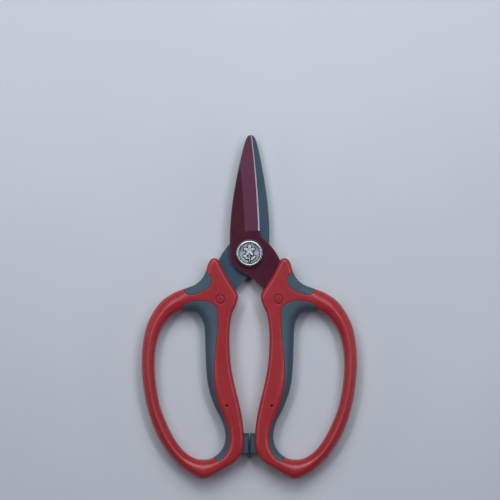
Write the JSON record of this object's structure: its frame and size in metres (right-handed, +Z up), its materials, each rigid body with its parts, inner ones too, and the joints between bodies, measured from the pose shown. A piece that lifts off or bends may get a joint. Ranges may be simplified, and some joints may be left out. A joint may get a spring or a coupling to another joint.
{
  "type": "floral snips",
  "caption": "Short-bladed floral snips with crossed steel blades on a round-headed pivot bolt and long oval finger loops with soft inner liners.",
  "frame": {"origin": "middle of the footprint of the closed snips, on the surface that they lie on", "axes": "+Z up out of the front face along the pivot bolt, +Y towards the blade tips, +X towards the right-hand loop"},
  "size_m": [0.1122, 0.1792, 0.013],
  "materials": {
    "maroon_coating": "satin",
    "grey_coating": "satin",
    "plated_steel": "polished",
    "washer_nylon": "matt",
    "red_plastic": "satin",
    "slate_elastomer": "matt"
  },
  "bodies": {
    "lower_half": {"lower_blade": "grey_coating", "left_handle": "red_plastic", "left_loop_liner": "slate_elastomer", "left_shoulder_pad": "slate_elastomer", "left_bumper": "slate_elastomer", "left_tang_pin": "plated_steel", "left_pin_plug": "red_plastic", "pivot_bolt": "plated_steel", "pivot_medallion": "plated_steel", "friction_washer": "washer_nylon", "spring_washer": "plated_steel", "pivot_nut": "plated_steel"},
    "upper_half": {"upper_blade": "maroon_coating", "right_handle": "red_plastic", "right_loop_liner": "slate_elastomer", "right_shoulder_pad": "slate_elastomer", "right_bumper": "slate_elastomer", "right_tang_pin": "plated_steel", "right_pin_plug": "red_plastic"}
  },
  "joints": [
    {"name": "blade_pivot", "type": "hinge", "parent": "lower_half", "child": "upper_half", "pos_m": [0, 0.02791, 0.0065], "axis": [0, 0, 1], "range_deg": [0, 55]}
  ]
}
